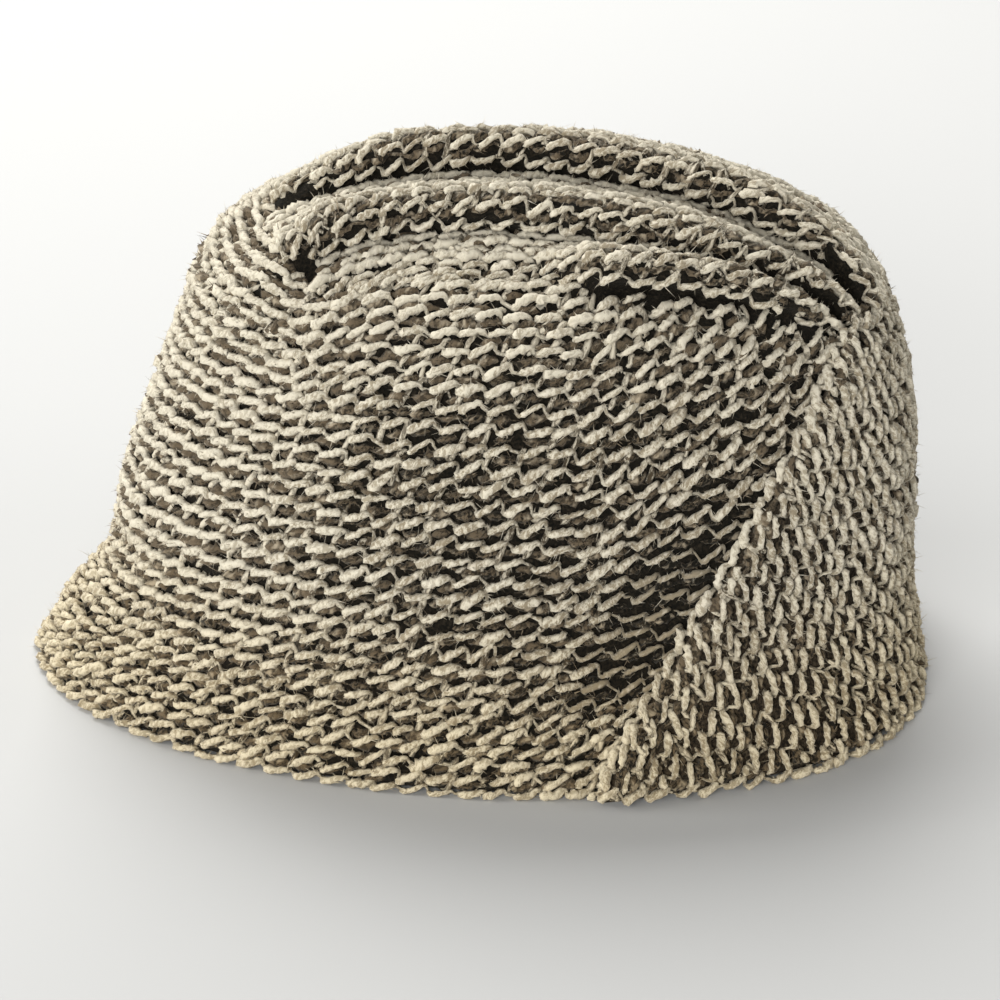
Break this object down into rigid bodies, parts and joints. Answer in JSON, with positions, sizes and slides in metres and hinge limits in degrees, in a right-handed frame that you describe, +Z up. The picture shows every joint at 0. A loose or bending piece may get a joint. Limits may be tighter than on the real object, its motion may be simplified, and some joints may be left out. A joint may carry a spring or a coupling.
{
  "type": "knitted cloche hat",
  "caption": "Thick tweed knit cloche hat with a close brim, a top drawn into soft pleats that gather behind the ear, and a back panel lapped over the crown along a slanting edge.",
  "frame": {"origin": "middle of the hat's footprint, on the plane of the brim's rim", "axes": "+X from the front of the hat to its back, +Y from the lapped side to the plain side, +Z up towards the pleated top"},
  "size_m": [0.234, 0.1904, 0.1413],
  "materials": {
    "crown_knit": "matt two-tone wool tweed knit, light oat strands over dark brown bumps, rows running round the head",
    "panel_knit": "the same wool tweed knit turned upright, light oat strands over dark brown bumps"
  },
  "bodies": {
    "root": {"crown": "crown_knit", "back_panel": "panel_knit"}
  },
  "joints": []
}
